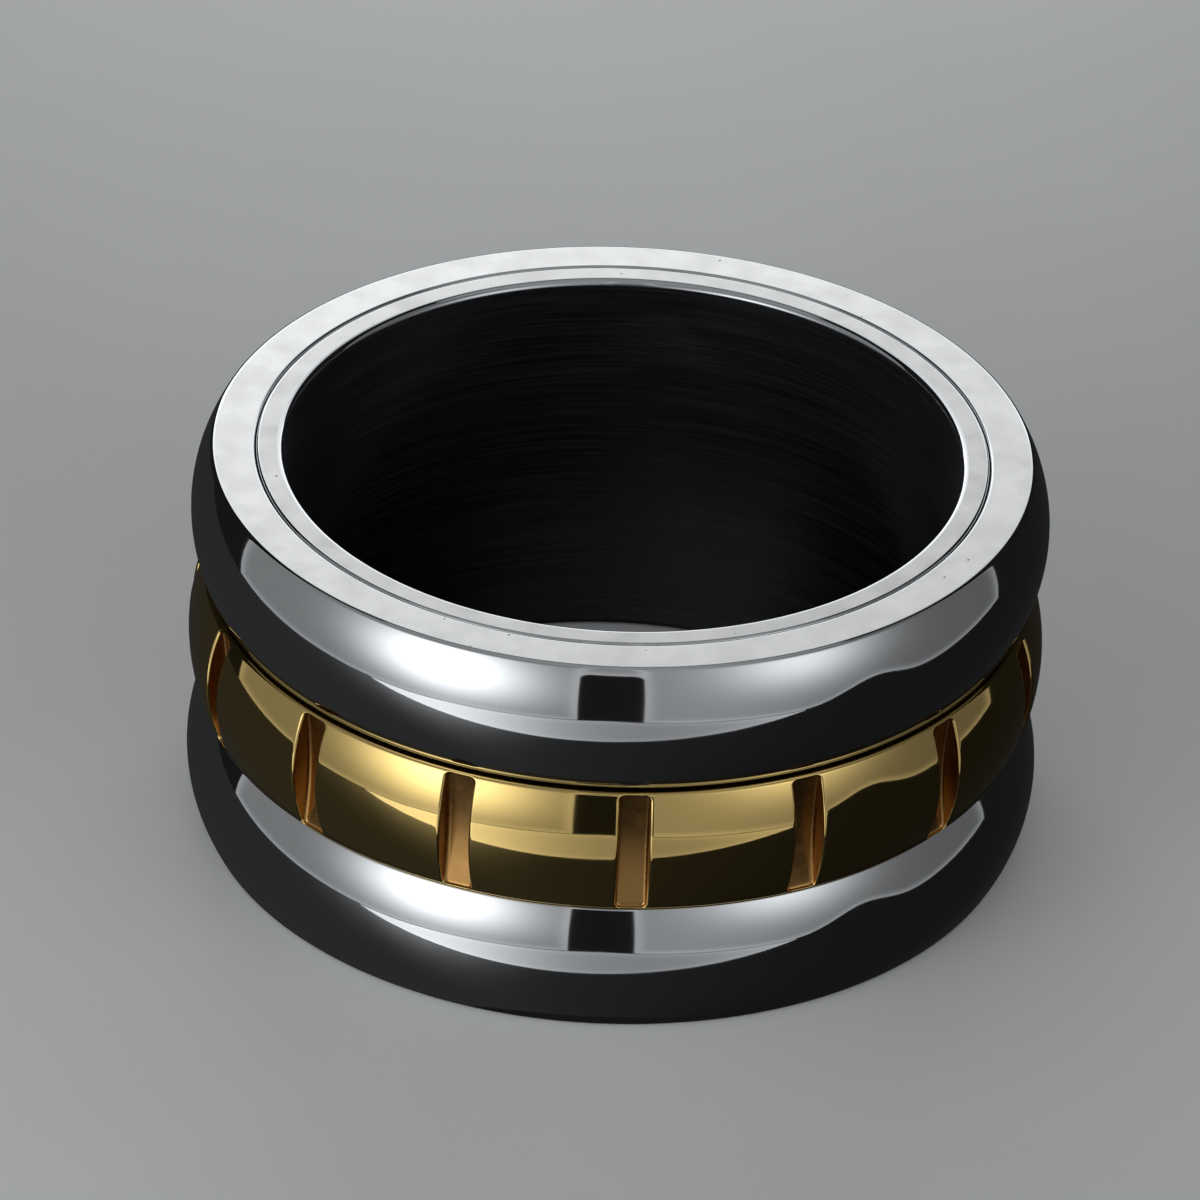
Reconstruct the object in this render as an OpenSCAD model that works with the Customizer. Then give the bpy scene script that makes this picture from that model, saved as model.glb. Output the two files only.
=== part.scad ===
// Spinner ring: a grooved band that turns freely between two domed side rings on one sleeve.
// Sizes are in millimetres. +Z is the finger's axis, and the origin is the centre of the lower end face,
// on which the ring lies. The front of the ring faces -Y.

/* [Finger sleeve] */
// Inside diameter of the sleeve, which is the finger size
bore_d = 19.6; // [15:0.1:23]
// Wall thickness of the sleeve
sleeve_wall = 0.81; // [0.6:0.01:1.2]
// Radius that rounds both ends of the bore for comfort
bore_round = 0.2; // [0.1:0.01:0.4]

/* [Side rings] */
// Height of each side ring, along the finger
side_h = 4; // [2:0.1:6]
// Thickness of a side ring, from the sleeve to the crown of its dome
side_t = 1.81; // [1.4:0.01:2.6]
// How far the crown stands out beyond the edges of the dome
side_rise = 0.55; // [0.2:0.01:0.8]
// Radius that rounds the edges between the dome and the end faces
side_edge_round = 0.17; // [0.05:0.01:0.3]
// Width of the break on the edges beside the seam between sleeve and side ring
edge_break = 0.09; // [0.02:0.01:0.15]

/* [Spinner band] */
// Height of the band, along the finger
band_h = 3.88; // [2:0.01:6]
// Thickness of the band, from its own bore to the crown of its dome
band_t = 1.78; // [1.4:0.01:2.6]
// How far the crown stands out beyond the edges of the dome
band_rise = 0.43; // [0.2:0.01:0.7]
// Radius that rounds the edges between the dome and the end faces
band_edge_round = 0.14; // [0.05:0.01:0.3]

/* [Grooves] */
// Number of grooves round the band
groove_count = 15; // [6:1:30]
// Width of a groove between its walls
groove_w = 0.88; // [0.5:0.01:1.4]
// Depth of a groove below the crown, at the middle of the band
groove_depth = 0.67; // [0.3:0.01:0.9]
// Radius of the milling wheel, which leaves the floor hollow along the band
groove_wheel_r = 12; // [8:0.1:40]
// Radius between the groove's floor and its walls
groove_round = 0.1; // [0.05:0.01:0.2]
// Radius of the corners of a groove, seen from outside
groove_corner = 0.16; // [0.1:0.01:0.24]
// Height of the lip that closes each end of a groove
groove_lip = 0.06; // [0.03:0.01:0.2]
// Turn of the front groove from the ring's front, in degrees
groove_turn = 3.6; // [0:0.1:24]

/* [Clearances] */
// Gap between the sleeve and a side ring, which shows as the seam
seam_gap = 0.03; // [0.01:0.01:0.05]
// Radial running clearance between the sleeve and the band
band_gap = 0.06; // [0.03:0.01:0.1]
// Gap between the resting band and the lower side ring
play_below = 0.03; // [0.02:0.01:0.1]
// Gap between the resting band and the upper side ring
play_above = 0.09; // [0.02:0.01:0.2]

/* [Hidden] */
$fn = 96;

// Radii, from the finger outwards
bore_r = bore_d / 2;
sleeve_r = bore_r + sleeve_wall;
side_bore_r = sleeve_r + seam_gap;
side_r = side_bore_r + side_t;
band_bore_r = sleeve_r + band_gap;
band_r = band_bore_r + band_t;
groove_floor_r = band_r - groove_depth;

// Heights, from the lower end face upwards
band_z = side_h + play_below;
upper_z = band_z + band_h + play_above;
ring_h = upper_z + side_h;

// Angle of the ring's front, and how far a cutting shape reaches past what it cuts
front = -90;
overcut = 0.5;

// Angle at which a rounded edge meets its dome: slight, but the two arcs cross cleanly
meet = 4;

// What a rounded corner loses, for a corner at the origin that points up and to the right.
// The rounding starts on the top face and ends on a side that leans by lean degrees from upright.
module corner_waste(radius, lean = 0) {
    reach = 2 * radius;
    translate([-radius, -radius]) difference() {
        polygon([[0, 0], [0, reach], [reach, reach], [reach, reach * tan(lean)]]);
        circle(r = radius);
    }
}

// What a chamfered corner loses, for a corner at the origin that points up and to the right.
module chamfer_waste(width) {
    polygon([[-width, overcut], [-width, 0], [0, -width], [overcut, -width], [overcut, overcut]]);
}

// Draws a cutting shape at the top end of a section of height h, and its mirror image at the bottom end.
module both_ends(h) {
    translate([0, h]) children();
    mirror([0, 1]) children();
}

// Half section of a ring with flat ends and a domed outside, standing on z = 0.
module dome_section(r_in, r_out, rise, h, edge_round) {
    dome_r = (pow(h / 2, 2) + pow(rise, 2)) / (2 * rise);
    dome_x = r_out - dome_r;
    corner_z = h / 2 - edge_round;
    corner_reach2 = pow(dome_r, 2) + pow(edge_round, 2) - 2 * dome_r * edge_round * cos(meet);
    corner_x = dome_x + sqrt(corner_reach2 - pow(corner_z, 2));
    lean = atan2(corner_z, corner_x - dome_x);
    difference() {
        intersection() {
            translate([dome_x, h / 2]) circle(r = dome_r);
            translate([r_in, 0]) square([r_out - r_in, h]);
        }
        both_ends(h) translate([corner_x + edge_round, 0]) corner_waste(edge_round, lean);
    }
}

// Side ring standing on z = 0, with a fine break on the edges beside the seam.
module side_ring() {
    rotate_extrude() difference() {
        dome_section(side_bore_r, side_r, side_rise, side_h, side_edge_round);
        both_ends(side_h) translate([side_bore_r, 0]) mirror([1, 0]) chamfer_waste(edge_break);
    }
}

// Half section of the wheel that mills a groove, with rounded corners, from its axis to its rim.
module wheel_section() {
    rim = groove_wheel_r - groove_round;
    translate([0, -groove_w / 2]) square([rim, groove_w]);
    translate([0, groove_round - groove_w / 2]) square([groove_wheel_r, groove_w - 2 * groove_round]);
    for (side = [-1, 1]) translate([rim, side * (groove_w / 2 - groove_round)]) circle(r = groove_round);
}

// Outline of a groove, seen from outside: a rectangle with rounded corners.
module groove_outline() {
    groove_h = band_h - 2 * groove_lip;
    inner = [groove_w / 2 - groove_corner, groove_h / 2 - groove_corner];
    square([groove_w, 2 * inner.y], center = true);
    square([2 * inner.x, groove_h], center = true);
    for (x = [-1, 1], y = [-1, 1])
        translate([x * inner.x, y * inner.y]) circle(r = groove_corner);
}

// One groove's cutting shape: the wheel, plunged into the band from +X, as far as the outline lets it.
module groove_waste() {
    translate([0, 0, band_h / 2]) intersection() {
        translate([groove_floor_r + groove_wheel_r, 0]) rotate([90, 0, 0]) rotate_extrude() wheel_section();
        rotate([90, 0, 90]) linear_extrude(height = band_r + overcut) groove_outline();
    }
}

module inner_sleeve() {
    color("lightgray") rotate_extrude() difference() {
        translate([bore_r, 0]) square([sleeve_wall, ring_h]);
        both_ends(ring_h) translate([bore_r, 0]) mirror([1, 0]) corner_waste(bore_round);
        both_ends(ring_h) translate([sleeve_r, 0]) chamfer_waste(edge_break);
    }
}

module upper_ring() {
    color("gainsboro") translate([0, 0, upper_z]) side_ring();
}

module lower_ring() {
    color("gainsboro") side_ring();
}

module spinner_band() {
    color("darkgoldenrod") translate([0, 0, band_z]) difference() {
        rotate_extrude() dome_section(band_bore_r, band_r, band_rise, band_h, band_edge_round);
        for (i = [0 : groove_count - 1])
            rotate([0, 0, front + groove_turn + i * 360 / groove_count]) groove_waste();
    }
}

inner_sleeve();
upper_ring();
spinner_band();
lower_ring();
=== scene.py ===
# %% [markdown]
# # A spinner ring, lying on its side
# A spinner ring is four turned parts. A thin sleeve goes round the finger, two domed side rings are
# pressed on its ends, and a grooved band turns freely between them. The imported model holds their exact
# sizes, so this script measures everything on it and only adds what a lathe, a polishing wheel and a
# plating bath leave behind.

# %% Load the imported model
import math
import bmesh
import bpy
from mathutils import Matrix, Vector


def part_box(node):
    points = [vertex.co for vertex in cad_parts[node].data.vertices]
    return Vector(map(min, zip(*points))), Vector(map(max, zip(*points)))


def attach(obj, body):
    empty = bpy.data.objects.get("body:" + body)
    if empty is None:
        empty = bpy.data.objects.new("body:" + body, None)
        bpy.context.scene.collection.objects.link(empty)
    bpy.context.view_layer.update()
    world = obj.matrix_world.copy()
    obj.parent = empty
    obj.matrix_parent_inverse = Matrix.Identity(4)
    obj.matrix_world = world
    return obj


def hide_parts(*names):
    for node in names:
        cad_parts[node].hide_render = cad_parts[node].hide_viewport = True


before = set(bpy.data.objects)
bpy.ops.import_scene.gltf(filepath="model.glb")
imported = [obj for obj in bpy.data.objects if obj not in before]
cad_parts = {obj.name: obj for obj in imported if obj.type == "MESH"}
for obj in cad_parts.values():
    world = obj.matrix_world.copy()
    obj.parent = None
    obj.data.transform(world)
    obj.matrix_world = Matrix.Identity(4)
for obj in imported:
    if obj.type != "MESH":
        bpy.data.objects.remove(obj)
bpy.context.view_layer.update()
MM = 0.001

# %% [markdown]
# ## Sizes
# Every part is round, so four numbers say where it is: its bore, its crown, and its two ends. They could
# be typed in again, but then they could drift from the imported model. Measuring them keeps both the same.

# %% Measure a turned part


def turned_size(node):
    """Bore radius, crown radius, lowest and highest point of a turned part, in metres."""
    reach = [math.hypot(v.co.x, v.co.y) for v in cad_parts[node].data.vertices]
    low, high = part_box(node)
    return min(reach), max(reach), low.z, high.z


for node in sorted(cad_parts):
    print(node, "bore, crown, low, high in mm:", [round(s / MM, 3) for s in turned_size(node)])

# %% [markdown]
# ## Nodes, colours and finished pieces
# Two kinds of node tree are built here: one makes shapes and one makes finishes. Both only need nodes
# with some settings and some inputs, so one small function adds a node to either. Hex colours are what a
# screen shows, and Blender calculates in linear light, so one more function turns the first into the
# second.

# %% Add a node, and read a hex colour


def add_node(tree, kind, inputs=(), **settings):
    """Add one node. inputs gives a value or another node's output for each input, by name or by number."""
    node = tree.nodes.new(kind)
    for name, value in settings.items():
        setattr(node, name, value)
    for key, value in dict(inputs).items():
        if isinstance(value, bpy.types.NodeSocket):
            tree.links.new(value, node.inputs[key])
        else:
            node.inputs[key].default_value = value
    return node


def linear(hex_colour):
    """The linear colour, with alpha, of an sRGB hex value such as "c0c0c0"."""
    parts = [int(hex_colour[i : i + 2], 16) / 255 for i in (0, 2, 4)]
    return [p / 12.92 if p <= 0.04045 else ((p + 0.055) / 1.055) ** 2.4 for p in parts] + [1]


# %% [markdown]
# ## Polished stainless steel
# The domes are stainless steel, turned and then buffed on a soft wheel. Buffing leaves a mirror, but a
# hand-held one: it waves very slightly, it has a faint haze where the wheel lingered, and hairlines run
# round the ring, because the ring turned under the wheel. A flat mirror shader would look like a drawing,
# so roughness carries the haze, and bump carries the waves and hairlines.

# %% Polished steel


def start_material(name):
    """A new material with an empty tree, and the Object coordinates that all patterns are measured in."""
    material = bpy.data.materials.new(name)
    material.use_nodes = True
    material.node_tree.nodes.clear()
    place = add_node(material.node_tree, "ShaderNodeTexCoord").outputs["Object"]
    return material, material.node_tree, place


def finish_material(tree, colour, roughness, normal):
    """Close a metal's tree with its shader. colour and roughness are a value or another node's output."""
    inputs = {"Base Color": colour, "Metallic": 1.0, "Roughness": roughness, "Normal": normal}
    shader = add_node(tree, "ShaderNodeBsdfPrincipled", inputs)
    add_node(tree, "ShaderNodeOutputMaterial", {"Surface": shader.outputs[0]})


def polished_metal(name, colour, mirror, haze):
    """A buffed metal: mirror is the roughness of its clearest places, and haze that of its dullest."""
    wave_size = 3.5 * MM
    wave_height = 0.0016 * MM
    hairline_gap = 0.09 * MM
    hairline_length = 9 * MM
    hairline_depth = 0.00012 * MM
    material, tree, place = start_material(name)
    cloud = add_node(tree, "ShaderNodeTexNoise", {"Vector": place, "Scale": 1 / wave_size, "Detail": 3.0})
    spread = {"Value": cloud.outputs[0], "From Min": 0.35, "From Max": 0.7, "To Min": mirror, "To Max": haze}
    roughness = add_node(tree, "ShaderNodeMapRange", spread)
    swell = add_node(tree, "ShaderNodeTexNoise", {"Vector": place, "Scale": 1 / wave_size, "Detail": 0.0})
    waves = add_node(tree, "ShaderNodeBump", {"Height": swell.outputs[0], "Distance": wave_height})
    stretch = (1 / hairline_length, 1 / hairline_length, 1 / hairline_gap)
    along = add_node(tree, "ShaderNodeMapping", {"Vector": place, "Scale": stretch})
    lines = add_node(tree, "ShaderNodeTexNoise", {"Vector": along.outputs[0], "Scale": 1.0, "Detail": 2.0})
    ridge = {"Height": lines.outputs[0], "Distance": hairline_depth, "Normal": waves.outputs[0]}
    hairlines = add_node(tree, "ShaderNodeBump", ridge)
    finish_material(tree, colour, roughness.outputs[0], hairlines.outputs[0])
    return material


polished_steel = polished_metal("polished_stainless_steel", linear("cbcccd"), 0.03, 0.06)
print("made", polished_steel.name)

# %% [markdown]
# ## Lapped stainless steel
# The end faces were rubbed flat on fine abrasive. That leaves a satin white that has no direction, with a
# soft mottle and here and there a pit that the abrasive tore out. Noise gives the grain and mottle, and
# the pits are the middles of Voronoi cells, because these lie scattered but never touch. Each pit is also
# coloured darker, and that darker colour is painted shade inside the pit.

# %% Lapped steel


def lapped_metal(name, colour, pit_shade_colour, smooth, rough):
    """A metal rubbed flat on fine abrasive, with a grain, a mottle and scattered pits darkened by painted
    shade.
    """
    grain_size = 0.05 * MM
    grain_height = 0.0022 * MM
    mottle_size = 0.9 * MM
    pit_gap = 0.8 * MM
    pit_radius = 0.045 * MM
    pit_depth = 0.006 * MM
    material, tree, place = start_material(name)
    mottle = add_node(tree, "ShaderNodeTexNoise", {"Vector": place, "Scale": 1 / mottle_size, "Detail": 5.0})
    spread = {"Value": mottle.outputs[0], "From Min": 0.3, "From Max": 0.7, "To Min": smooth, "To Max": rough}
    roughness = add_node(tree, "ShaderNodeMapRange", spread)
    cells = add_node(tree, "ShaderNodeTexVoronoi", {"Vector": place, "Scale": 1 / pit_gap})
    share = pit_radius / pit_gap
    rim = {"Value": cells.outputs["Distance"], "From Min": share * 0.5, "From Max": share}
    pit = add_node(tree, "ShaderNodeMapRange", rim)
    # Pits take the darker colour: painted shade inside each pit.
    tones = {0: pit.outputs[0], 6: pit_shade_colour, 7: colour}
    tint_with_pit_shade = add_node(tree, "ShaderNodeMix", tones, data_type="RGBA").outputs[2]
    sunk = add_node(tree, "ShaderNodeBump", {"Height": pit.outputs[0], "Distance": pit_depth})
    grain = add_node(tree, "ShaderNodeTexNoise", {"Vector": place, "Scale": 1 / grain_size, "Detail": 2.0})
    tooth = {"Height": grain.outputs[0], "Distance": grain_height, "Normal": sunk.outputs[0]}
    matt = add_node(tree, "ShaderNodeBump", tooth)
    finish_material(tree, tint_with_pit_shade, roughness.outputs[0], matt.outputs[0])
    return material


# The second colour of each finish is painted shade inside its pits.
lapped_steel = lapped_metal("lapped_stainless_steel", linear("cfcecc"), linear("787776"), 0.22, 0.36)
worn_steel = lapped_metal("worn_lapped_stainless_steel", linear("c6c5c3"), linear("6d6c6b"), 0.26, 0.4)
print("made", lapped_steel.name, "and", worn_steel.name)

# %% [markdown]
# ## Brushed stainless steel
# The bore was drawn over an abrasive mandrel. Fine lines go round it, and shorter, fainter ones go along
# it where rings are slid on and off. Stretched noise makes both: slow round the bore and quick along it
# for the first, and the other way about for the second. It needs no seam, because it is measured straight
# in space.

# %% Brushed steel


def brushed_metal(name, colour, smooth, rough):
    """A metal with fine lines round Z, and fainter ones along it."""
    line_gap = 0.07 * MM
    line_length = 5 * MM
    line_depth = 0.0002 * MM
    rub_gap = 0.12 * MM
    rub_length = 4 * MM
    rub_depth = 0.00008 * MM
    material, tree, place = start_material(name)
    round_scale = (1 / line_length, 1 / line_length, 1 / line_gap)
    round_map = add_node(tree, "ShaderNodeMapping", {"Vector": place, "Scale": round_scale})
    rings = {"Vector": round_map.outputs[0], "Scale": 1.0, "Detail": 3.0}
    lines = add_node(tree, "ShaderNodeTexNoise", rings)
    along_scale = (1 / rub_gap, 1 / rub_gap, 1 / rub_length)
    along_map = add_node(tree, "ShaderNodeMapping", {"Vector": place, "Scale": along_scale})
    rubs = add_node(tree, "ShaderNodeTexNoise", {"Vector": along_map.outputs[0], "Scale": 1.0, "Detail": 2.0})
    spread = {"Value": lines.outputs[0], "From Min": 0.35, "From Max": 0.65}
    spread.update({"To Min": smooth, "To Max": rough})
    roughness = add_node(tree, "ShaderNodeMapRange", spread)
    first = add_node(tree, "ShaderNodeBump", {"Height": lines.outputs[0], "Distance": line_depth})
    cross = {"Height": rubs.outputs[0], "Distance": rub_depth, "Normal": first.outputs[0]}
    second = add_node(tree, "ShaderNodeBump", cross)
    finish_material(tree, colour, roughness.outputs[0], second.outputs[0])
    return material


brushed_steel = brushed_metal("brushed_stainless_steel", linear("b9babd"), 0.18, 0.26)
print("made", brushed_steel.name)

# %% [markdown]
# ## Gold-coloured plating
# The band is steel with a hard gold-coloured coating a few micrometres thick. The coating copies what is
# under it, so the lands between the grooves are as bright as the domes, and the milled grooves stay satin.
# The grooves also get a browner, darker colour of the same family: that colour is painted shade, standing
# in for the light that bounces between their walls.

# %% Plated band


def milled_metal(name, colour, smooth, rough):
    """A metal with the lines of a cutter along Z, and fainter dull patches."""
    line_gap = 0.06 * MM
    line_length = 2.5 * MM
    line_depth = 0.0007 * MM
    patch_size = 0.5 * MM
    material, tree, place = start_material(name)
    patches = add_node(tree, "ShaderNodeTexNoise", {"Vector": place, "Scale": 1 / patch_size, "Detail": 3.0})
    spread = {"Value": patches.outputs[0], "From Min": 0.3, "From Max": 0.7}
    spread.update({"To Min": smooth, "To Max": rough})
    roughness = add_node(tree, "ShaderNodeMapRange", spread)
    stretch = (1 / line_gap, 1 / line_gap, 1 / line_length)
    along = add_node(tree, "ShaderNodeMapping", {"Vector": place, "Scale": stretch})
    lines = add_node(tree, "ShaderNodeTexNoise", {"Vector": along.outputs[0], "Scale": 1.0, "Detail": 2.0})
    ridges = add_node(tree, "ShaderNodeBump", {"Height": lines.outputs[0], "Distance": line_depth})
    finish_material(tree, colour, roughness.outputs[0], ridges.outputs[0])
    return material


polished_gold = polished_metal("polished_gold_plating", linear("e0c17a"), 0.035, 0.07)
# The grooves' darker, browner colour is painted shade; their milling is roughness and bump.
groove_gold_with_painted_shade = milled_metal("milled_gold_plating_painted_shade", linear("b98d54"), 0.22, 0.31)
print("made", polished_gold.name, "and", groove_gold_with_painted_shade.name)

# %% [markdown]
# ## Sections
# A turned part is its section, carried round the axis. Sections are lists of points, radius first and
# height second, anticlockwise: up the outside, in over the top, down the bore, and out along the bottom.
# Arcs are sampled finely, because a polished dome mirrors every facet. A straight stretch between two
# roundings gets an extra point close to each end: smooth shading then bends only there, and the flat face
# mirrors as a flat one.

# %% Draw arcs and straight stretches

ARC_STEPS = 10
DOME_STEPS = 48
HOLD = 0.02 * MM


def arc(centre, radius, start, end, steps=ARC_STEPS):
    """Points of an arc from one angle to another, in degrees, with both ends."""
    angles = [math.radians(start + (end - start) * i / steps) for i in range(steps + 1)]
    return [(centre[0] + radius * math.cos(a), centre[1] + radius * math.sin(a)) for a in angles]


def hold_flat(start, end):
    """The two points that keep the stretch between start and end flat."""
    along = Vector(end) - Vector(start)
    step = along.normalized() * min(HOLD, along.length / 3)
    return [tuple(Vector(start) + step), tuple(Vector(end) - step)]


def dome_shape(crown, low, high, rise, edge):
    """Radius of a dome's arc, then radius and half height of the centres of its two edge roundings.

    rise is how far the crown stands out beyond the corners, and edge the radius that rounds them.
    """
    half = (high - low) / 2
    dome = (half**2 + rise**2) / (2 * rise)
    corner_height = half - edge
    corner = crown - dome + math.sqrt((dome - edge) ** 2 - corner_height**2)
    return dome, corner, corner_height


def dome_outline(crown, low, high, rise, edge, steps=DOME_STEPS):
    """The outside of a domed ring, from its bottom end face to its top one, finest near the edges."""
    dome, corner, corner_height = dome_shape(crown, low, high, rise, edge)
    middle = (high + low) / 2
    lean = math.degrees(math.atan2(corner_height, corner - crown + dome))
    bottom = arc((corner, middle - corner_height), edge, -90, -lean)
    top = arc((corner, middle + corner_height), edge, lean, 90)
    flank = []
    for i in range(1, steps):
        tilt = math.radians(lean * math.sin(math.pi / 2 * (2 * i / steps - 1)))
        flank.append((crown - dome + dome * math.cos(tilt), middle + dome * math.sin(tilt)))
    return bottom + flank + top


def bore_outline(bore, low, high, edge, steps=ARC_STEPS):
    """The inside of a ring from its top end face down to its bottom one."""
    top = arc((bore + edge, high - edge), edge, 90, 180, steps)
    bottom = arc((bore + edge, low + edge), edge, 180, 270, steps)
    return top + hold_flat(top[-1], bottom[0]) + bottom


def close_section(outside, inside):
    """Join an outside and an inside with two flat end faces."""
    return outside + hold_flat(outside[-1], inside[0]) + inside + hold_flat(inside[-1], outside[0])


SIDE_RISE = 0.55 * MM
SIDE_EDGE = 0.17 * MM
BORE_EDGE = 0.2 * MM
FINE_BREAK = 0.09 * MM


def side_ring_section(node):
    """Section of a domed side ring."""
    bore, crown, low, high = turned_size(node)
    outside = dome_outline(crown, low, high, SIDE_RISE, SIDE_EDGE)
    return close_section(outside, bore_outline(bore, low, high, FINE_BREAK))


def sleeve_section(node):
    """Section of the sleeve, with its bore rounded for comfort and its outer edges just broken."""
    bore, outer, low, high = turned_size(node)
    bottom = arc((outer - FINE_BREAK, low + FINE_BREAK), FINE_BREAK, -90, 0)
    top = arc((outer - FINE_BREAK, high - FINE_BREAK), FINE_BREAK, 0, 90)
    outside = bottom + hold_flat(bottom[-1], top[0]) + top
    return close_section(outside, bore_outline(bore, low, high, BORE_EDGE))


print("side ring section:", len(side_ring_section("upper_ring")), "points")

# %% [markdown]
# ## Turning on a lathe of nodes
# A lathe could be the Screw modifier or a loop over angles. Geometry Nodes do it in one node: Curve to
# Mesh carries the section round a circle. Its inputs have names, so the same tree turns the sleeve and
# both side rings. It then tells the end faces and the bore from the rest, by their direction and radius,
# and gives each its finish.

# %% Build the lathe tree


def new_tree(name, sockets):
    """An empty geometry tree with named inputs, and its input and output nodes."""
    tree = bpy.data.node_groups.new(name, "GeometryNodeTree")
    tree.interface.new_socket("Geometry", in_out="INPUT", socket_type="NodeSocketGeometry")
    for label, kind in sockets:
        tree.interface.new_socket(label, in_out="INPUT", socket_type="NodeSocket" + kind)
    tree.interface.new_socket("Geometry", in_out="OUTPUT", socket_type="NodeSocketGeometry")
    return tree, add_node(tree, "NodeGroupInput").outputs


def lathe_tree():
    """Carries a section round Z. The section is drawn with radius along X and height along minus Y."""
    named = [("Segments", "Int"), ("Rail Radius", "Float"), ("Bore Limit", "Float"), ("Polish", "Material")]
    named += [("End Finish", "Material"), ("Bore Finish", "Material")]
    tree, given = new_tree("turned_part", named)
    section = add_node(tree, "GeometryNodeMeshToCurve", {"Mesh": given["Geometry"]})
    circle = {"Resolution": given["Segments"], "Radius": given["Rail Radius"]}
    rail = add_node(tree, "GeometryNodeCurvePrimitiveCircle", circle)
    sweep = {"Curve": rail.outputs[0], "Profile Curve": section.outputs[0]}
    body = add_node(tree, "GeometryNodeCurveToMesh", sweep)
    smooth = add_node(tree, "GeometryNodeSetShadeSmooth", {0: body.outputs[0]})
    real = add_node(tree, "GeometryNodeRealizeInstances", {0: smooth.outputs[0]})

    normal = add_node(tree, "GeometryNodeInputNormal").outputs[0]
    facing = add_node(tree, "ShaderNodeSeparateXYZ", {0: normal})
    upright = add_node(tree, "ShaderNodeMath", {0: facing.outputs["Z"]}, operation="ABSOLUTE")
    flat = add_node(tree, "ShaderNodeMath", {0: upright.outputs[0], 1: 0.999}, operation="GREATER_THAN")
    spot = add_node(tree, "GeometryNodeInputPosition").outputs[0]
    level = add_node(tree, "ShaderNodeVectorMath", {0: spot, 1: (1, 1, 0)}, operation="MULTIPLY")
    reach = add_node(tree, "ShaderNodeVectorMath", {0: level.outputs[0]}, operation="LENGTH")
    near = {0: reach.outputs["Value"], 1: given["Bore Limit"]}
    inside = add_node(tree, "ShaderNodeMath", near, operation="LESS_THAN")

    polish = {"Geometry": real.outputs[0], "Material": given["Polish"]}
    first = add_node(tree, "GeometryNodeSetMaterial", polish)
    ends = {"Geometry": first.outputs[0], "Selection": flat.outputs[0], "Material": given["End Finish"]}
    second = add_node(tree, "GeometryNodeSetMaterial", ends)
    bore = {"Geometry": second.outputs[0], "Selection": inside.outputs[0], "Material": given["Bore Finish"]}
    third = add_node(tree, "GeometryNodeSetMaterial", bore)
    add_node(tree, "NodeGroupOutput", {0: third.outputs[0]})
    return tree


lathe = lathe_tree()
print("lathe tree:", len(lathe.nodes), "nodes")

# %% [markdown]
# A tree only describes a shape. To get a plain mesh, the tree is put on a small source object as a
# modifier, its inputs are set, and the evaluated result is copied. The source and its modifier are then
# thrown away, so the finished piece has a mesh and nothing live on it.

# %% Run a tree and keep its mesh


def run_tree(name, source, tree, values):
    """The finished piece that a tree makes from the source mesh, with a plain mesh at the origin."""
    maker = bpy.data.objects.new(name + "_source", source)
    bpy.context.scene.collection.objects.link(maker)
    modifier = maker.modifiers.new("nodes", "NODES")
    modifier.node_group = tree
    for socket in tree.interface.items_tree:
        if socket.in_out == "INPUT" and socket.name in values:
            modifier[socket.identifier] = values[socket.name]
    shaped = maker.evaluated_get(bpy.context.evaluated_depsgraph_get())
    mesh = bpy.data.meshes.new_from_object(shaped)
    maker.modifiers.remove(modifier)
    bpy.data.objects.remove(maker)
    mesh.name = name
    piece = bpy.data.objects.new(name, mesh)
    bpy.context.scene.collection.objects.link(piece)
    return piece


def describe(piece):
    """Print how many faces a piece has, its volume, and whether it is closed."""
    solid = bmesh.new()
    solid.from_mesh(piece.data)
    open_edges = sum(1 for edge in solid.edges if len(edge.link_faces) != 2)
    triangles = sum(len(face.verts) - 2 for face in solid.faces)
    volume = solid.calc_volume(signed=True) / MM**3
    solid.free()
    print(f"{piece.name}: {triangles} triangles, {volume:.1f} mm3, {open_edges} open edges")


# %% [markdown]
# ## The sleeve and the two side rings
# The same tree turns all three. The side rings come out of one section, measured on each of them, because
# they are one design, used twice. Only the finishes differ: the sleeve alone has a brushed bore.

# %% Turn three parts

SEGMENTS = 384


def turn(name, section, bore, finishes):
    """Turn one part from its section. finishes are those of the outside, the end faces and the bore."""
    outline = bpy.data.meshes.new(name + "_section")
    points = [(reach - bore, -height, 0) for reach, height in reversed(section)]
    steps = range(len(points))
    outline.from_pydata(points, [(i, (i + 1) % len(points)) for i in steps], [])
    values = {"Segments": SEGMENTS, "Rail Radius": bore, "Bore Limit": bore + FINE_BREAK / 4}
    values.update(zip(("Polish", "End Finish", "Bore Finish"), finishes))
    piece = run_tree(name, outline, lathe, values)
    describe(piece)
    return piece


steel_finishes = (polished_steel, lapped_steel, polished_steel)
sleeve_bore = turned_size("inner_sleeve")[0]
side_bore = turned_size("upper_ring")[0]
sleeve_finishes = (polished_steel, worn_steel, brushed_steel)
sleeve = turn("finger_sleeve", sleeve_section("inner_sleeve"), sleeve_bore, sleeve_finishes)
upper = turn("upper_side_ring", side_ring_section("upper_ring"), side_bore, steel_finishes)
lower = turn("lower_side_ring", side_ring_section("lower_ring"), side_bore, steel_finishes)

# %% [markdown]
# ## The grooved band
# The band is a domed ring whose grooves were milled by a small wheel, held upright and pushed in towards
# the axis. Each floor is hollow along the band, and a thin lip closes both ends, so a groove is a long
# shallow trough with rounded corners. A Boolean cut would leave hard edges and uneven faces, which a
# polished surface shows at once. Instead one pitch of the band is drawn as a grid with a hole in it. The
# hole is filled by loops that follow the trough's outline inwards, like contour lines: over the rounded
# rim, down the wall, round the foot to the floor.

# %% Sizes of the band and its grooves

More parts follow.
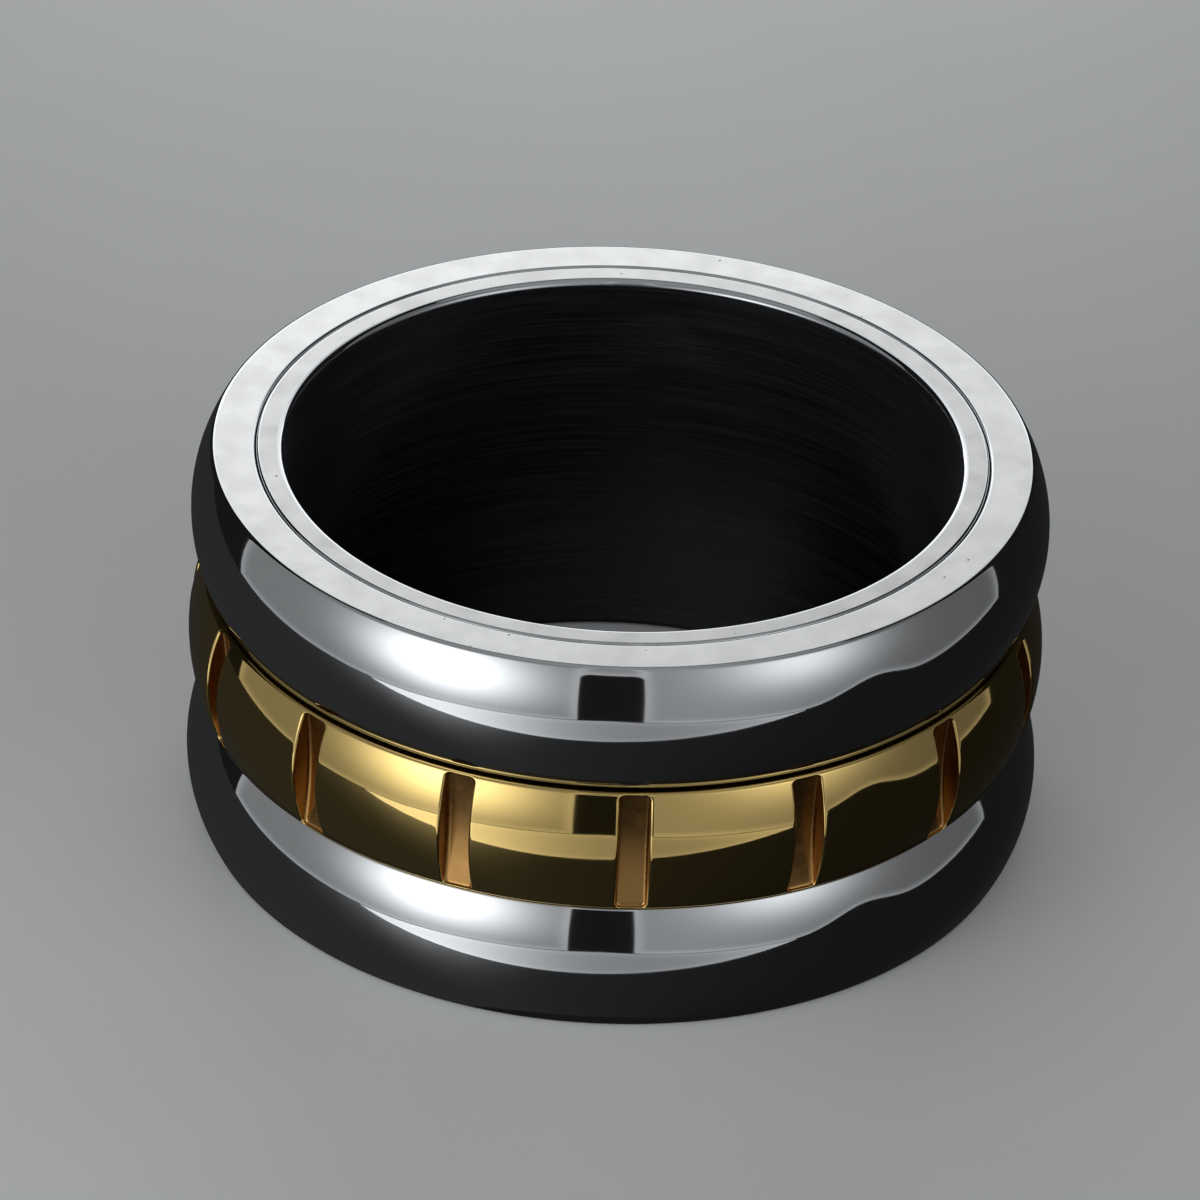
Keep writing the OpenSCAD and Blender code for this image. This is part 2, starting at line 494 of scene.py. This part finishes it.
GROOVES = 15
GROOVE_TURN = 3.6
GROOVE_WIDTH = 0.88 * MM
GROOVE_DEPTH = 0.67 * MM
GROOVE_CORNER = 0.16 * MM
GROOVE_LIP = 0.06 * MM
WHEEL_RADIUS = 12 * MM
BAND_RISE = 0.43 * MM
BAND_EDGE = 0.14 * MM
BAND_BORE_BREAK = 0.04 * MM

band_bore, band_crown, band_low, band_high = turned_size("spinner_band")
band_middle = (band_low + band_high) / 2
groove_end = (band_high - band_low) / 2 - GROOVE_LIP
print("a groove is", round(2 * groove_end / MM, 2), "mm long")

# %% [markdown]
# Two surfaces meet in a groove: the band's domed outside, and the floor that the wheel cuts. Both are
# formulas, so any point across and along the band can be put on either of them.

# %% Points on the outside and on the floor

band_dome, edge_middle, edge_height = dome_shape(band_crown, band_low, band_high, BAND_RISE, BAND_EDGE)


def on_outside(across, along, depth):
    """A point below the band's outside by depth. across and along are measured from the groove's middle."""
    flank_end = edge_height * band_dome / (band_dome - BAND_EDGE)
    if abs(along) < flank_end:
        reach = band_crown - band_dome + math.sqrt(band_dome**2 - along**2)
    else:
        reach = edge_middle + math.sqrt(max(BAND_EDGE**2 - (abs(along) - edge_height) ** 2, 0))
    return Vector((math.sqrt(reach**2 - across**2) - depth, across, band_middle + along))


def on_floor(across, along, raised):
    """A point above the groove's floor by raised."""
    deepest = band_crown - GROOVE_DEPTH
    reach = deepest + WHEEL_RADIUS - math.sqrt(WHEEL_RADIUS**2 - along**2)
    return Vector((reach + raised, across, band_middle + along))


end_depth = (on_outside(0, groove_end, 0) - on_floor(0, groove_end, 0)).x
print("depth at a groove's end in mm:", round(end_depth / MM, 3))

# %% [markdown]
# The point of the outline that is nearest to a point outside it gives the way down into the groove. On a
# rectangle with rounded corners that is simple: clamp the point to the rectangle of the corners' centres,
# and go one corner radius from there towards the point. Rims and feet are smaller at the shallow ends.

# %% Go down into a groove

RIM_SIDE = 0.08 * MM
RIM_END = 0.045 * MM
FOOT_SIDE = 0.1 * MM
FOOT_END = 0.06 * MM
APRON_STEPS = 4
FINE_STEPS = 5


def clamp(value, limit):
    return max(-limit, min(limit, value))


def way_down(start):
    """Points from a point on the band's outside to the groove's floor, without the start."""
    flat = Vector((start.y, start.z - band_middle))
    inner_x = clamp(flat.x, GROOVE_WIDTH / 2 - GROOVE_CORNER)
    inner_y = clamp(flat.y, groove_end - GROOVE_CORNER)
    inner = Vector((inner_x, inner_y))
    outwards = (flat - inner).normalized()
    edge = inner + GROOVE_CORNER * outwards
    rim = RIM_SIDE * outwards.x**2 + RIM_END * outwards.y**2
    foot = FOOT_SIDE * outwards.x**2 + FOOT_END * outwards.y**2
    apron = (flat - edge).length - rim
    points = []
    for i in range(1, APRON_STEPS + 1):
        spot = edge + outwards * (rim + apron * math.cos(math.pi / 2 * i / APRON_STEPS))
        points.append(on_outside(spot.x, spot.y, 0))
    for turn in (math.pi / 2 * i / FINE_STEPS for i in range(1, FINE_STEPS + 1)):
        spot = edge + outwards * rim * (1 - math.sin(turn))
        points.append(on_outside(spot.x, spot.y, rim * (1 - math.cos(turn))))
    feet = []
    for turn in (math.pi / 2 * i / FINE_STEPS for i in range(FINE_STEPS + 1)):
        spot = edge - outwards * foot * (1 - math.cos(turn))
        feet.append(on_floor(spot.x, spot.y, foot * (1 - math.sin(turn))))
    return points + [Vector(p) for p in hold_flat(points[-1], feet[0])] + feet


print("points on each way down:", len(way_down(on_outside(GROOVE_WIDTH, 0, 0))))

# %% [markdown]
# The grid has a row for each point of the band's section and a column for each angle of the pitch. Every
# vertex round the hole sends one way down, and the ways side by side make the loops. Straight rows then
# fill the floor. Faces of the wall and the floor are marked, and the node tree gives marked faces the
# milled finish, whose darker, browner colour is painted shade.

# %% Fill the hole with a groove

LAND_STEPS = 7
PATCH_STEPS = 20
PATCH_ANGLE = 2.86


def add_groove(verts, faces, hole, rows, columns):
    """Add a groove's vertices and faces, and give the number of faces that are not milled.

    hole lists the vertices round it: up, across, down and back, with as many faces up each side as
    rows says, and as many across each end as columns says.
    """
    ways = [way_down(verts[corner]) for corner in hole]
    around = len(hole)
    outer = hole
    for depth in range(len(ways[0])):
        inner = [len(verts) + i for i in range(around)]
        verts.extend(way[depth] for way in ways)
        faces.extend((outer[i - 1], outer[i], inner[i], inner[i - 1]) for i in range(around))
        outer = inner
        if depth == APRON_STEPS + FINE_STEPS - 1:
            polished = len(faces)
    lines = [[outer[-j % around] for j in range(columns + 1)]]
    for i in range(1, rows):
        right, left = outer[i], outer[2 * rows + columns - i]
        fill = [len(verts) + j for j in range(columns - 1)]
        verts.extend(verts[right].lerp(verts[left], j / columns) for j in range(1, columns))
        lines.append([right] + fill + [left])
    lines.append([outer[rows + j] for j in range(columns + 1)])
    for low_line, high_line in zip(lines, lines[1:]):
        faces.extend((low_line[j], high_line[j], high_line[j + 1], low_line[j + 1]) for j in range(columns))
    return polished


# %% [markdown]
# The columns stand close together over the groove and wider apart on the land. The pitch ends in the
# middle of two lands, where the band is smooth, so the joints between the copies cannot be seen.

# %% Draw one pitch of the band

BAND_STEPS = 40


def pitch_angles():
    """Angles of the columns, in radians, from one end of the pitch to the other."""
    half_pitch = 180 / GROOVES
    land = [half_pitch + (PATCH_ANGLE - half_pitch) * i / LAND_STEPS for i in range(LAND_STEPS)]
    patch = [PATCH_ANGLE * (1 - 2 * i / PATCH_STEPS) for i in range(PATCH_STEPS + 1)]
    return [math.radians(a) for a in land + patch + [-a for a in reversed(land)]]


def draw_pitch():
    """The mesh of one pitch, with its groove in the middle."""
    outside = dome_outline(band_crown, band_low, band_high, BAND_RISE, BAND_EDGE, BAND_STEPS)
    inside = bore_outline(band_bore, band_low, band_high, BAND_BORE_BREAK, FINE_STEPS)
    section = close_section(outside, inside)
    angles = pitch_angles()
    verts = [Vector((r * math.cos(a), r * math.sin(a), height)) for r, height in section for a in angles]
    width, rows = len(angles), len(outside) - 1
    first, last = LAND_STEPS, LAND_STEPS + PATCH_STEPS
    faces = []
    for i, j in [(i, j) for i in range(len(section)) for j in range(width - 1)]:
        if i >= rows or not first <= j < last:
            below = i * width + j
            above = (i + 1) % len(section) * width + j
            faces.append((below, above, above + 1, below + 1))
    hole = [i * width + first for i in range(rows)]
    hole += [rows * width + j for j in range(first, last)]
    hole += [i * width + last for i in range(rows, 0, -1)]
    hole += list(range(last, first, -1))
    polished = add_groove(verts, faces, hole, rows, PATCH_STEPS)
    mesh = bpy.data.meshes.new("band_pitch")
    mesh.from_pydata(verts, [], faces)
    marks = [i >= polished for i in range(len(faces))]
    mesh.attributes.new("groove", "BOOLEAN", "FACE").data.foreach_set("value", marks)
    return mesh


pitch = draw_pitch()
milled = sum(mark.value for mark in pitch.attributes["groove"].data)
print("one pitch:", len(pitch.polygons), "faces,", milled, "milled")

# %% [markdown]
# The pitch repeats 15 times, turned about the axis. An Array modifier could do it too, but Geometry Nodes
# keep the count and the turn as named inputs: one point for each groove, all at the origin, and on each
# an instance turned by its number. Realizing makes the instances real, welding closes the joints between
# them, and the finishes come last.

# %% Build the repeating tree


def repeat_tree():
    """Repeats a pitch round Z, welds the copies, and sets the finishes of lands and grooves."""
    named = [("Count", "Int"), ("Turn", "Float"), ("Weld", "Float")]
    named += [("Polish", "Material"), ("Milled Shaded", "Material")]
    tree, given = new_tree("grooved_band", named)
    spots = add_node(tree, "GeometryNodePoints", {"Count": given["Count"]})
    number = add_node(tree, "GeometryNodeInputIndex").outputs[0]
    step = add_node(tree, "ShaderNodeMath", {0: math.tau, 1: given["Count"]}, operation="DIVIDE")
    angle = {0: number, 1: step.outputs[0], 2: given["Turn"]}
    turned = add_node(tree, "ShaderNodeMath", angle, operation="MULTIPLY_ADD")
    about = add_node(tree, "ShaderNodeCombineXYZ", {"Z": turned.outputs[0]})
    copies = {"Points": spots.outputs[0], "Instance": given["Geometry"], "Rotation": about.outputs[0]}
    ring = add_node(tree, "GeometryNodeInstanceOnPoints", copies)
    real = add_node(tree, "GeometryNodeRealizeInstances", {0: ring.outputs[0]})
    joined = {"Geometry": real.outputs[0], "Distance": given["Weld"]}
    weld = add_node(tree, "GeometryNodeMergeByDistance", joined)
    smooth = add_node(tree, "GeometryNodeSetShadeSmooth", {0: weld.outputs[0]})
    mark = add_node(tree, "GeometryNodeInputNamedAttribute", {"Name": "groove"}, data_type="BOOLEAN")
    lands = {"Geometry": smooth.outputs[0], "Material": given["Polish"]}
    first = add_node(tree, "GeometryNodeSetMaterial", lands)
    # Groove faces take the milled finish, whose darker colour is painted shade.
    floors = {"Geometry": first.outputs[0], "Selection": mark.outputs[0], "Material": given["Milled Shaded"]}
    second = add_node(tree, "GeometryNodeSetMaterial", floors)
    add_node(tree, "NodeGroupOutput", {0: second.outputs[0]})
    return tree


FRONT = -90
values = {"Count": GROOVES, "Turn": math.radians(FRONT + GROOVE_TURN), "Weld": 0.0005 * MM}
values.update({"Polish": polished_gold, "Milled Shaded": groove_gold_with_painted_shade})
band = run_tree("grooved_band", pitch, repeat_tree(), values)
describe(band)

# %% [markdown]
# ## Who moves with whom
# The sleeve and the side rings are one rigid body, because they are pressed together, and the band spins.
# Each piece stands for the part of the imported model that it was measured on, and that part is hidden.

# %% Join the pieces to the imported model

for piece, node, body, slot in (
    (sleeve, "inner_sleeve", "fixed_ring", "sleeve_steel"),
    (upper, "upper_ring", "fixed_ring", "polished_steel"),
    (lower, "lower_ring", "fixed_ring", "polished_steel"),
    (band, "spinner_band", "spinner", "gold_plated_steel"),
):
    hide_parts(node)
    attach(piece, body)
    print(piece.name, "rides on", body)

# %% [markdown]
# ## Floor and backdrop
# The ring lies on a plain pale floor. A polished dome is a picture of what stands round it, and a pale
# floor would wash out the lower half of every dome, so the floor is hidden from mirror rays, under Object
# Properties, Visibility. It still takes the ring's soft shadow. The backdrop is there for low cameras
# alone.

# %% Floor and backdrop

FLOOR_RADIUS = 1.4
BACKDROP_RADIUS = 1.3
BACKDROP_GLOW = 0.45


def stage_object(name, mesh, material, hidden_from):
    """Put a mesh on the stage, and hide it from some kinds of light ray."""
    mesh.materials.append(material)
    thing = bpy.data.objects.new(name, mesh)
    bpy.context.scene.collection.objects.link(thing)
    for kind in hidden_from:
        setattr(thing, "visible_" + kind, False)


def disc_mesh(name, radius, height):
    """A flat disc, facing up."""
    mesh = bpy.data.meshes.new(name)
    rim = [(x, y, height) for x, y in arc((0, 0), radius, 0, 360, 96)[:-1]]
    mesh.from_pydata(rim, [], [tuple(range(len(rim)))])
    return mesh


def floor_material():
    """Matt pale paint, with the faintest unevenness that a roller leaves."""
    roller_size = 12 * MM
    material, tree, place = start_material("matt_pale_paint")
    cloud = add_node(tree, "ShaderNodeTexNoise", {"Vector": place, "Scale": 1 / roller_size, "Detail": 4.0})
    tones = {0: cloud.outputs[0], 6: linear("e2e2e1"), 7: linear("eaeae9")}
    paint = add_node(tree, "ShaderNodeMix", tones, data_type="RGBA").outputs[2]
    shader = add_node(tree, "ShaderNodeBsdfPrincipled", {"Base Color": paint, "Roughness": 0.9})
    add_node(tree, "ShaderNodeOutputMaterial", {"Surface": shader.outputs[0]})
    return material


def glow_material(name, strength):
    """Plain light of one strength."""
    material, tree, place = start_material(name)
    light = add_node(tree, "ShaderNodeEmission", {"Strength": strength})
    add_node(tree, "ShaderNodeOutputMaterial", {"Surface": light.outputs[0]})
    return material


stage_object("floor", disc_mesh("floor", FLOOR_RADIUS, 0), floor_material(), ("glossy", "shadow"))
round_mesh = bmesh.new()
bmesh.ops.create_uvsphere(round_mesh, u_segments=48, v_segments=24, radius=BACKDROP_RADIUS)
bmesh.ops.reverse_faces(round_mesh, faces=round_mesh.faces)
backdrop_mesh = bpy.data.meshes.new("backdrop")
round_mesh.to_mesh(backdrop_mesh)
round_mesh.free()
unseen = ("glossy", "diffuse", "shadow")
stage_object("backdrop", backdrop_mesh, glow_material("pale_backdrop", BACKDROP_GLOW), unseen)
print("floor and backdrop ready")

# %% [markdown]
# ## Studio light
# Jewellery is photographed inside a small tent of white fabric with lamps outside, and what a polished
# dome shows is that tent. So its panels are cut like a pattern, given by the directions that they fill as
# seen from the ring: a wall round the front and the sides, with a slit for the lens, a sheet that comes
# forward below it, a dim roof, and a bright back, which the flat end faces mirror. Two lamps shine
# through the wall. The angles and strengths were worked out from what the domes show in the photograph.

# %% Curved panels of fabric

TENT_RADIUS = 90 * MM
PANEL_STEPS = 64
HEM_WIDTH = 2
HEM_GLOW = 0.2
RING_MIDDLE = Vector((0, 0, 8 * MM))


def direction(azimuth, elevation):
    """The unit vector of a direction in degrees: azimuth from the front towards the right, then elevation."""
    a, e = math.radians(azimuth), math.radians(elevation)
    return Vector((math.cos(e) * math.sin(a), -math.cos(e) * math.cos(a), math.sin(e)))


def fall_off(distance, width):
    """1 in the middle, and soon nothing beyond the width."""
    return math.exp(-((distance / width) ** 2))


def panel_mesh(name, left, right, low, high, glow, hem_glow=0):
    """A curved panel from one azimuth to another.

    low, high and glow are functions: its edges at an azimuth, and its brightness in a direction.
    A hem round it is folded double and catches a little more light.
    """
    verts, strengths = [], []
    for i in range(PANEL_STEPS + 1):
        azimuth = (left + right - (right - left) * math.cos(math.pi * i / PANEL_STEPS)) / 2
        bottom, top = low(azimuth), high(azimuth)
        for j in range(PANEL_STEPS + 1):
            elevation = (bottom + top - (top - bottom) * math.cos(math.pi * j / PANEL_STEPS)) / 2
            inset = min(azimuth - left, right - azimuth, elevation - bottom, top - elevation)
            hem = hem_glow * fall_off(inset, HEM_WIDTH)
            verts.append(RING_MIDDLE + TENT_RADIUS * direction(azimuth, elevation))
            strengths.append(glow(azimuth, elevation) + hem)
    width = PANEL_STEPS + 1
    cells = [i * width + j for i in range(PANEL_STEPS) for j in range(PANEL_STEPS)]
    mesh = bpy.data.meshes.new(name)
    mesh.from_pydata(verts, [], [(c, c + 1, c + 1 + width, c + width) for c in cells])
    mesh.attributes.new("glow", "FLOAT", "POINT").data.foreach_set("value", strengths)
    return mesh


def fabric_material():
    """White fabric lit from behind, as bright as its glow attribute says."""
    material, tree, place = start_material("lit_white_fabric")
    glow = add_node(tree, "ShaderNodeAttribute", attribute_name="glow")
    light = add_node(tree, "ShaderNodeEmission", {"Color": linear("f9fcff"), "Strength": glow.outputs["Fac"]})
    add_node(tree, "ShaderNodeOutputMaterial", {"Surface": light.outputs[0]})
    return material


fabric = fabric_material()
print("panels have", PANEL_STEPS**2, "faces each")

# %% [markdown]
# The wall reaches a little past the ring's sides, so each dome ends dark on the left and the right. Its
# lower edge hangs lowest towards the sides, and on the right it is tucked up a little. A lintel with
# rounded corners closes the slit above.

# %% Tent wall, in two halves beside the slit

WALL_LEFT, WALL_RIGHT = -106, 108
SLIT_LEFT, SLIT_RIGHT = -8, 7.5
SLIT_TOP, SLIT_ROUND = 22, 3
WALL_TOP = 62
SAG_SIDE, SAG_MIDDLE, SAG_LOWEST = 50, -12, -17.5
END_SIDE, END_RISE = 106, 6
TUCK, TUCK_HEIGHT, TUCK_WIDTH = 64, 9.5, 11
LEFT_GLOW, RIGHT_GLOW, CHANGE_WIDTH = 0.28, 0.15, 15
RIGHT_EXTRA, EXTRA_AZIMUTH, EXTRA_WIDTH = 0.26, 15, 40
# Each lamp's direction, spread in degrees and strength
LAMPS = ((direction(-41, 10), 18.5, 2.6), (direction(47, 20), 17, 1.05))


def wall_low(azimuth):
    """The wall's lower edge: down to where it sags most, and up again towards the sides."""
    side = abs(azimuth)
    if side < SAG_SIDE:
        sag = SAG_MIDDLE + (SAG_LOWEST - SAG_MIDDLE) * side / SAG_SIDE
    else:
        sag = SAG_LOWEST + END_RISE * ((side - SAG_SIDE) / (END_SIDE - SAG_SIDE)) ** 2
    return sag + TUCK_HEIGHT * fall_off(azimuth - TUCK, TUCK_WIDTH)


def plain(value):
    """A function that is the same in every direction."""
    return lambda *place: value


def slit_top(azimuth):
    """The slit's upper edge, with rounded corners."""
    inset = SLIT_ROUND - min(azimuth - SLIT_LEFT, SLIT_RIGHT - azimuth, SLIT_ROUND)
    return SLIT_TOP - SLIT_ROUND + math.sqrt(SLIT_ROUND**2 - inset**2)


def wall_glow(azimuth, elevation):
    """An even light that changes softly from left to right, and two lamps that shine through."""
    right_part = RIGHT_GLOW + RIGHT_EXTRA * fall_off(azimuth - EXTRA_AZIMUTH, EXTRA_WIDTH)
    share = 1 / (1 + math.exp(-azimuth / CHANGE_WIDTH))
    glow = LEFT_GLOW * (1 - share) + right_part * share
    towards = direction(azimuth, elevation)
    for centre, spread, strength in LAMPS:
        glow += strength * fall_off(math.degrees(towards.angle(centre)), spread)
    return glow


for name, left, right, low in (
    ("left_wall", WALL_LEFT, SLIT_LEFT, wall_low),
    ("right_wall", SLIT_RIGHT, WALL_RIGHT, wall_low),
    ("lintel", SLIT_LEFT, SLIT_RIGHT, slit_top),
):
    mesh = panel_mesh(name, left, right, low, plain(WALL_TOP), wall_glow, HEM_GLOW)
    stage_object(name, mesh, fabric, ("camera",))
    print(name, "from", left, "to", right, "degrees")

# %% [markdown]
# The sheet lies in front of the ring and lights the lower part of the domes. A thin dark gap parts it
# from the wall, and the domes show that gap as a fine line.

# %% Front sheet, a narrow gap below the wall

SHEET_LEFT, SHEET_RIGHT = -60.5, 47
SHEET_MIDDLE = -12
SHEET_LOW = -30.4
SHEET_RISE = 13
SHEET_GAP = 0.35
SHEET_GLOW = 0.33
LEFT_HALF, RIGHT_HALF = 50, 58
# Azimuth, spread in degrees and strength of what each lamp adds
SHEET_LAMPS = ((-45, 25, 1.1), (45, 20, 0.2))


def sheet_high(azimuth):
    """The sheet's upper edge, just below the wall."""
    return wall_low(azimuth) - SHEET_GAP


def sheet_low(azimuth):
    """The sheet's lower edge, which rises towards both ends."""
    half_width = LEFT_HALF if azimuth < SHEET_MIDDLE else RIGHT_HALF
    rise = SHEET_RISE * ((azimuth - SHEET_MIDDLE) / half_width) ** 2
    return min(SHEET_LOW + rise, sheet_high(azimuth))


def sheet_glow(azimuth, elevation):
    """The sheet takes light from both lamps, mostly from the left one."""
    glow = SHEET_GLOW
    for middle, spread, strength in SHEET_LAMPS:
        glow += strength * fall_off(azimuth - middle, spread)
    return glow


sheet_ends = (SHEET_LEFT, SHEET_RIGHT)
sheet_mesh = panel_mesh("front_sheet", *sheet_ends, sheet_low, sheet_high, sheet_glow, HEM_GLOW / 2)
stage_object("front_sheet", sheet_mesh, fabric, ("camera",))
print("front sheet down to", SHEET_LOW, "degrees")

# %% [markdown]
# A dark cloth hangs all round, below the wall and the sheet. It is almost black, but the left lamp spills
# onto its upper edge, and so the dark parts of the domes keep a soft glow. The back glows most on the
# left and low down, which gives the flat end faces their slow change from bright at the back to greyer at
# the front.

# %% Dark cloth, roof and back

CLOTH_LOW = -75
CLOTH_GLOW, CLOTH_CHANGE = 0.022, 0.011
SPILL, SPILL_AZIMUTH, SPILL_WIDTH, SPILL_DEPTH = 0.25, -46, 17, 9
ROOF_GLOW = 0.35
BACK_MIDDLE = 180
BACK_WIDTH = 28
BACK_LOW, BACK_HIGH = 12, 52
BACK_GLOW, BACK_LEVEL = 1.19, 35
ACROSS_WIDTH, UP_WIDTH = 95, 29


def cloth_high(azimuth):
    """The cloth's upper edge, just below whatever hangs above it."""
    in_front = SHEET_LEFT < azimuth < SHEET_RIGHT
    above = sheet_low(azimuth) if in_front else min(wall_low(azimuth), BACK_LOW)
    return above - SHEET_GAP


def cloth_glow(azimuth, elevation):
    """Almost nothing, a little more on the left, and what the left lamp spills onto the edge."""
    room = CLOTH_GLOW - CLOTH_CHANGE * math.sin(math.radians(azimuth))
    below = cloth_high(azimuth) - elevation
    return room + SPILL * fall_off(azimuth - SPILL_AZIMUTH, SPILL_WIDTH) * math.exp(-below / SPILL_DEPTH)


def back_glow(azimuth, elevation):
    """Brightest on the left and low down."""
    leftwards = (azimuth - BACK_MIDDLE) / ACROSS_WIDTH
    upwards = (elevation - BACK_LEVEL) / UP_WIDTH
    return BACK_GLOW * max(0, 1 + leftwards - upwards)


back_left, back_right = BACK_MIDDLE - BACK_WIDTH, BACK_MIDDLE + BACK_WIDTH
for name, left, right, low, high, glow in (
    ("dark_cloth", -180, 180, plain(CLOTH_LOW), cloth_high, cloth_glow),
    ("roof", -180, 180, plain(WALL_TOP), plain(90), plain(ROOF_GLOW)),
    ("back_wall", back_left, back_right, plain(BACK_LOW), plain(BACK_HIGH), back_glow),
):
    stage_object(name, panel_mesh(name, left, right, low, high, glow), fabric, ("camera",))
    print(name, "from", left, "to", right, "degrees")

# %% [markdown]
# The bore would mirror the pale floor inside it. A small dark card lies there instead, seen only by
# mirror rays: it is painted shade for the bore to mirror. The rest of the room is nearly dark, so the ends
# of the domes stay dark and stand out from the pale floor.

# %% Bore card and dark room

CARD_HEIGHT = 0.02 * MM
ROOM_GLOW = 0.012

# The card is painted shade: black, and seen only in mirrors.
card_material = glow_material("painted_shade_card", 0.0)
card_mesh = disc_mesh("bore_card", sleeve_bore, CARD_HEIGHT)
stage_object("bore_card", card_mesh, card_material, ("camera", "diffuse", "shadow"))
world = bpy.data.worlds.new("dark_room")
world.use_nodes = True
background = world.node_tree.nodes["Background"]
background.inputs["Color"].default_value = (1, 1, 1, 1)
background.inputs["Strength"].default_value = ROOM_GLOW
bpy.context.scene.world = world
bpy.context.scene.view_settings.view_transform = "Standard"

# %% [markdown]
# ## Camera
# The camera looks down at the front of the ring through a long lens, close by. Its angles and distance
# were worked out from the ellipses that the ring's edges make. The middle of the upper end face lies a
# little off the middle of the picture, so the camera aims beside it, by that many pixels.

# %% Aim the camera

CAMERA_ELEVATION = 30.79
CAMERA_ROLL = 2.42
CAMERA_DISTANCE = 312.74 * MM
LENS = 324.7
PICTURE = 1200
FACE_MIDDLE_PIXEL = (623.1, 450.2)

view = -direction(0, CAMERA_ELEVATION)
level_right = Vector((1, 0, 0))
level_up = level_right.cross(view)
roll = math.radians(CAMERA_ROLL)
camera_right = math.cos(roll) * level_right + math.sin(roll) * level_up
camera_up = math.cos(roll) * level_up - math.sin(roll) * level_right

camera = bpy.data.objects.new("camera", bpy.data.cameras.new("camera"))
bpy.context.scene.collection.objects.link(camera)
camera.data.lens = LENS
pixel = CAMERA_DISTANCE * camera.data.sensor_width / LENS / PICTURE
face_middle = Vector((0, 0, turned_size("upper_ring")[3]))
camera_place = face_middle - view * CAMERA_DISTANCE
to_right = (FACE_MIDDLE_PIXEL[0] - PICTURE / 2) * pixel
to_top = (PICTURE / 2 - FACE_MIDDLE_PIXEL[1]) * pixel
aim = (face_middle - camera_right * to_right - camera_up * to_top - camera_place).normalized()
camera_right = (camera_right - camera_right.dot(aim) * aim).normalized()
axes = Matrix((camera_right, camera_right.cross(aim), -aim)).transposed().to_4x4()
camera.matrix_world = Matrix.Translation(camera_place) @ axes
camera.data.clip_start = CAMERA_DISTANCE / 100
bpy.context.scene.camera = camera
print("one pixel is", round(pixel / MM, 4), "mm at the ring")
